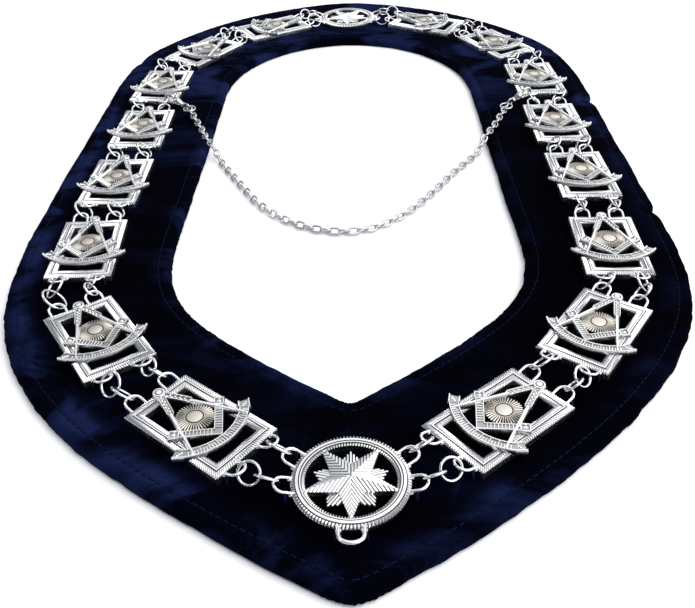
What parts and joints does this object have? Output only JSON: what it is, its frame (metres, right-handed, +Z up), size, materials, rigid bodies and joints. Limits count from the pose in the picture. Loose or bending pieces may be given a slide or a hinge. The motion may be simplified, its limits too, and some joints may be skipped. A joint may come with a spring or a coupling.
{
  "type": "chain collar",
  "caption": "Ceremonial chain collar: pierced silver plates and star medallions joined by jump rings on a padded velvet band, with a fine cross chain.",
  "frame": {"origin": "on the surface that the collar lies on, under the middle of its box", "axes": "+Z up from the surface, -Y towards the front point, +Y towards the nape, +X towards the side seen on the right"},
  "size_m": [0.2848, 0.5114, 0.0154],
  "materials": {
    "velvet": "padded velvet pile",
    "plate_silver": "polished silver plate, milled and engraved",
    "ring_silver": "polished silver plate"
  },
  "bodies": {
    "root": {"velvet_collar": "velvet", "plate_left_1": "plate_silver", "plate_left_2": "plate_silver", "plate_left_3": "plate_silver", "plate_left_4": "plate_silver", "plate_left_5": "plate_silver", "plate_left_6": "plate_silver", "plate_left_7": "plate_silver", "plate_left_8": "plate_silver", "plate_right_1": "plate_silver", "plate_right_2": "plate_silver", "plate_right_3": "plate_silver", "plate_right_4": "plate_silver", "plate_right_5": "plate_silver", "plate_right_6": "plate_silver", "plate_right_7": "plate_silver", "plate_right_8": "plate_silver", "medallion_front": "plate_silver", "medallion_back": "plate_silver", "link_left_0_inner": "ring_silver", "link_left_1_inner": "ring_silver", "link_left_2_inner": "ring_silver", "link_left_3_inner": "ring_silver", "link_left_4_inner": "ring_silver", "link_left_5_inner": "ring_silver", "link_left_6_inner": "ring_silver", "link_left_7_inner": "ring_silver", "link_left_8_inner": "ring_silver", "link_left_0_outer": "ring_silver", "link_left_1_outer": "ring_silver", "link_left_2_outer": "ring_silver", "link_left_3_outer": "ring_silver", "link_left_4_outer": "ring_silver", "link_left_5_outer": "ring_silver", "link_left_6_outer": "ring_silver", "link_left_7_outer": "ring_silver", "link_left_8_outer": "ring_silver", "link_right_0_inner": "ring_silver", "link_right_1_inner": "ring_silver", "link_right_2_inner": "ring_silver", "link_right_3_inner": "ring_silver", "link_right_4_inner": "ring_silver", "link_right_5_inner": "ring_silver", "link_right_6_inner": "ring_silver", "link_right_7_inner": "ring_silver", "link_right_8_inner": "ring_silver", "link_right_0_outer": "ring_silver", "link_right_1_outer": "ring_silver", "link_right_2_outer": "ring_silver", "link_right_3_outer": "ring_silver", "link_right_4_outer": "ring_silver", "link_right_5_outer": "ring_silver", "link_right_6_outer": "ring_silver", "link_right_7_outer": "ring_silver", "link_right_8_outer": "ring_silver", "clasp_left": "ring_silver", "clasp_right": "ring_silver", "cross_chain": "ring_silver"}
  },
  "joints": []
}
